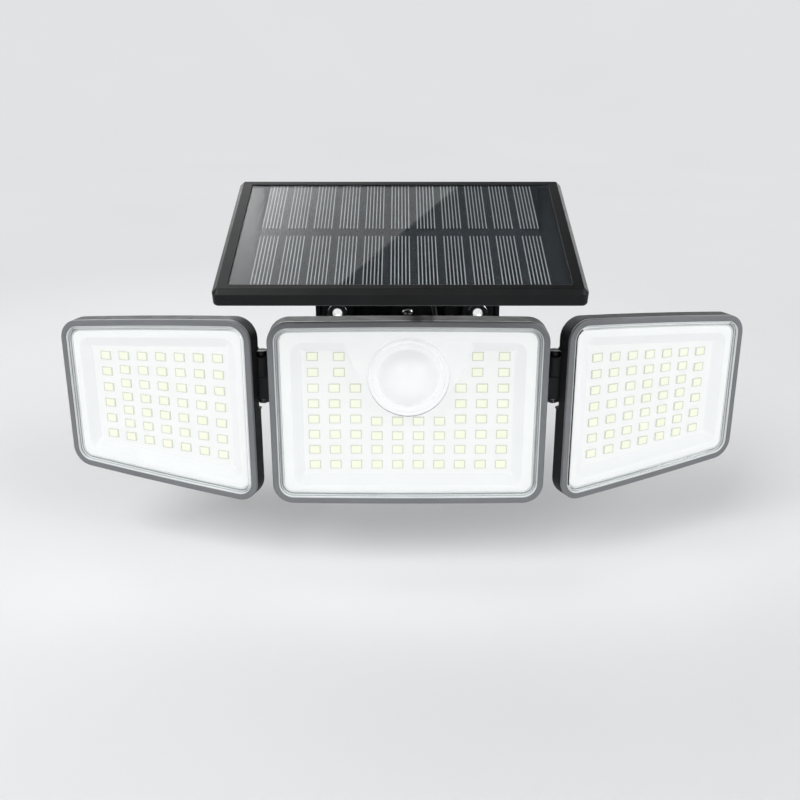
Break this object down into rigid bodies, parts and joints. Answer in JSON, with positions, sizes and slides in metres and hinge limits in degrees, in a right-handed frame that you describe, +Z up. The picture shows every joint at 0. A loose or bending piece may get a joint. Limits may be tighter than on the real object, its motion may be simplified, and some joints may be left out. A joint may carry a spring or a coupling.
{
  "type": "motion sensor security light",
  "caption": "Wall-mounted solar security light: a motion sensor head with two folding wing heads under a tilting solar panel.",
  "frame": {"origin": "on the wall plane, midway between the two screw holes of the bracket", "axes": "+X to the viewer's right, +Y into the wall, +Z up"},
  "size_m": [0.3732, 0.1169, 0.1626],
  "materials": {
    "housing_abs": "fine moulded grain",
    "frame_abs": "satin moulded",
    "clear_pc": "clear polished",
    "white_pc": "white satin",
    "dome_pe": "milky, faceted inside",
    "led_phosphor": "yellow silicone in a white package",
    "white_board": "white solder mask",
    "green_board": "green solder mask",
    "black_nylon": "moulded nylon",
    "rubber": "matt rubber",
    "grey_silicone": "light grey moulded seal",
    "lead_jacket": "black jacket",
    "bright_steel": "nickel plated",
    "black_steel": "black oxide",
    "zinc_steel": "zinc plated",
    "sensor_metal": "drawn can",
    "cell_wrap": "shrink wrapped cell",
    "solar_silicon": "dark silicon with light finger lines",
    "solar_backing": "black backing",
    "clear_cover": "clear laminate"
  },
  "bodies": {
    "bracket": {"wall_bracket": "housing_abs", "hole_ferrules": "bright_steel", "panel_arm": "housing_abs", "arm_screws": "bright_steel", "head_tilt_bolt": "black_steel", "head_tilt_nut": "zinc_steel", "panel_tilt_bolt": "black_steel", "panel_tilt_nut": "zinc_steel", "panel_lead": "lead_jacket", "head_lead": "lead_jacket"},
    "panel": {"panel_frame": "housing_abs", "solar_backing": "solar_backing", "solar_cells": "solar_silicon", "solar_cover": "clear_cover", "panel_back_cover": "housing_abs", "panel_screws": "black_steel", "panel_gland": "black_nylon"},
    "head": {"head_housing": "housing_abs", "head_rear_cover": "housing_abs", "head_cover_screws": "black_steel", "head_frame": "frame_abs", "head_lens": "clear_pc", "head_gasket": "grey_silicone", "head_reflector": "white_pc", "head_led_board": "white_board", "head_leds": "led_phosphor", "sensor_ring": "white_pc", "sensor_dome": "dome_pe", "sensor_can": "sensor_metal", "battery_cells": "cell_wrap", "battery_cradle": "black_nylon", "control_board": "green_board", "mode_switch": "black_nylon", "fold_nuts": "zinc_steel", "head_gland": "black_nylon", "left_fold_bolt": "black_steel", "right_fold_bolt": "black_steel"},
    "left_wing": {"left_wing_housing": "housing_abs", "left_wing_frame": "frame_abs", "left_wing_lens": "clear_pc", "left_wing_gasket": "grey_silicone", "left_wing_reflector": "white_pc", "left_wing_led_board": "white_board", "left_wing_leds": "led_phosphor"},
    "right_wing": {"right_wing_housing": "housing_abs", "right_wing_frame": "frame_abs", "right_wing_lens": "clear_pc", "right_wing_gasket": "grey_silicone", "right_wing_reflector": "white_pc", "right_wing_led_board": "white_board", "right_wing_leds": "led_phosphor"},
    "mode_button": {"mode_button": "rubber"}
  },
  "joints": [
    {"name": "panel_tilt", "type": "hinge", "parent": "bracket", "child": "panel", "pos_m": [0, -0.0585, 0.0383], "axis": [1, 0, 0], "range_deg": [-19, 36], "deforming": ["panel_lead"]},
    {"name": "head_tilt", "type": "hinge", "parent": "bracket", "child": "head", "pos_m": [0, -0.026, -0.017], "axis": [1, 0, 0], "range_deg": [-10, 35], "deforming": ["head_lead"]},
    {"name": "left_fold", "type": "hinge", "parent": "head", "child": "left_wing", "pos_m": [-0.0767, -0.0595, -0.0193], "axis": [0, 0, 1], "range_deg": [-42, 28]},
    {"name": "right_fold", "type": "hinge", "parent": "head", "child": "right_wing", "pos_m": [0.0767, -0.0595, -0.0193], "axis": [0, 0, 1], "range_deg": [-34, 36]},
    {"name": "button_press", "type": "slide", "parent": "head", "child": "mode_button", "axis": [0, 0, 1], "range_m": [0, 0.0012], "stiffness_N_per_m": 400, "springref_m": -0.0006}
  ]
}
